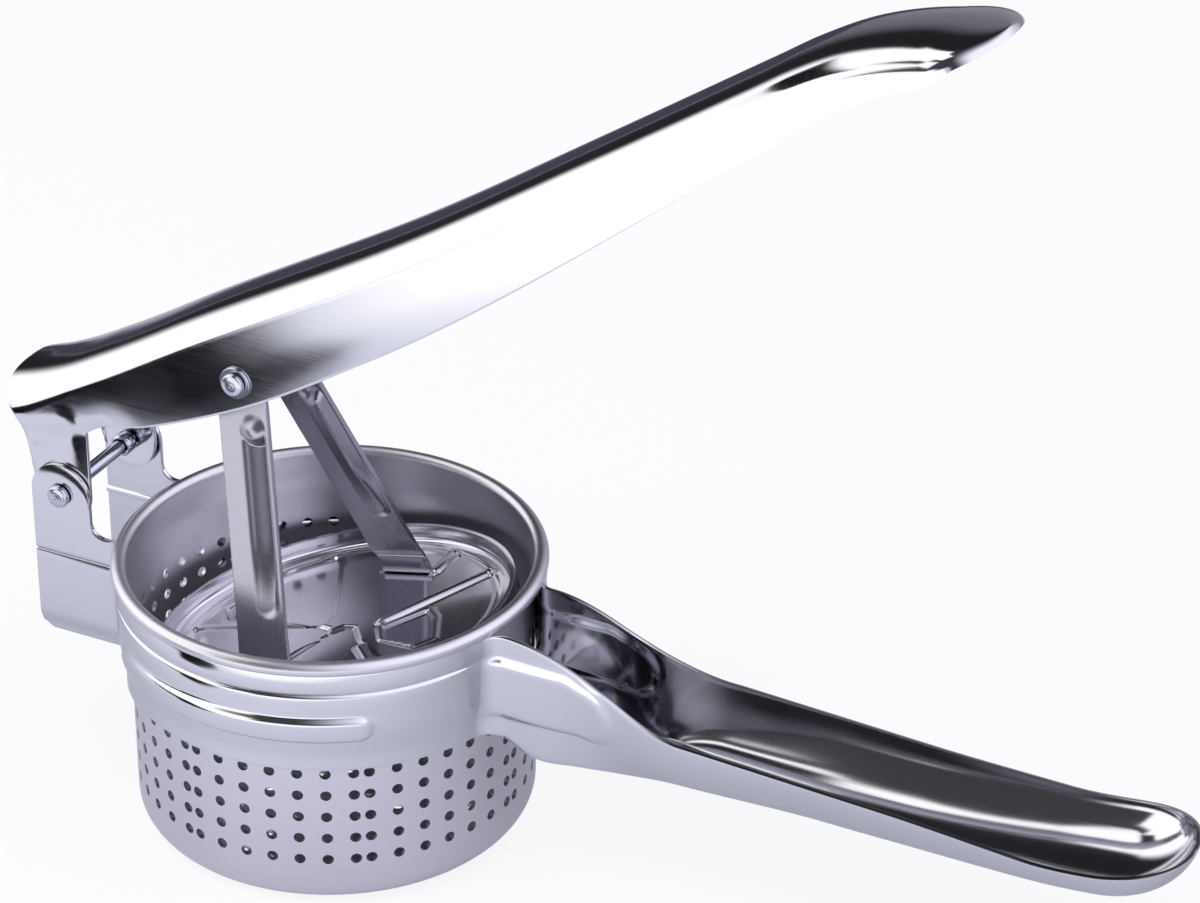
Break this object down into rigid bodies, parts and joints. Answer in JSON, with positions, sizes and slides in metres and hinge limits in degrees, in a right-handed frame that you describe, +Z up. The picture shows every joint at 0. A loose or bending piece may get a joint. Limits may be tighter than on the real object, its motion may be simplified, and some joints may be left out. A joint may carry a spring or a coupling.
{
  "type": "potato ricer",
  "caption": "Hand-squeezed press: perforated round basket in a sheet-metal ring with trough handle, hinged channel lever and a disc plunger on splayed struts.",
  "frame": {"origin": "centre of the underside of the basket, where the tool stands", "axes": "+X from the basket towards the lower handle's tip, +Y across towards the far plate of the bracket, +Z up"},
  "size_m": [0.254, 0.0877, 0.2002],
  "materials": {
    "basket_steel": "satin pressed stainless sheet, perforated",
    "shell_steel": "polished stainless sheet",
    "lever_steel": "polished stainless sheet",
    "disc_steel": "polished stainless sheet with pressed beads",
    "strut_steel": "soft-polished stainless strip",
    "pin_steel": "turned and riveted stainless rod"
  },
  "bodies": {
    "frame": {"shell": "shell_steel", "hinge_axle": "pin_steel", "axle_collar_near": "pin_steel", "axle_collar_far": "pin_steel"},
    "basket": {"basket": "basket_steel"},
    "lever": {"lever": "lever_steel", "plunger_pin": "pin_steel", "pin_washer_near": "pin_steel", "pin_washer_far": "pin_steel"},
    "plunger": {"strut_near": "strut_steel", "strut_far": "strut_steel", "press_disc": "disc_steel"}
  },
  "joints": [
    {"name": "lever_hinge", "type": "hinge", "parent": "frame", "child": "lever", "pos_m": [-0.0545, 0, 0.0636], "axis": [0, 1, 0], "range_deg": [-15, 36]},
    {"name": "plunger_pivot", "type": "hinge", "parent": "lever", "child": "plunger", "pos_m": [-0.01188, 0, 0.09962], "axis": [0, 1, 0], "range_deg": [-20, 8.5]},
    {"name": "basket_turn", "type": "hinge", "parent": "frame", "child": "basket", "pos_m": [0, 0, 0.03], "axis": [0, 0, 1], "continuous": true}
  ],
  "couplings": [
    {"joint": "plunger_pivot", "follows": "lever_hinge", "ratio": -0.55}
  ]
}
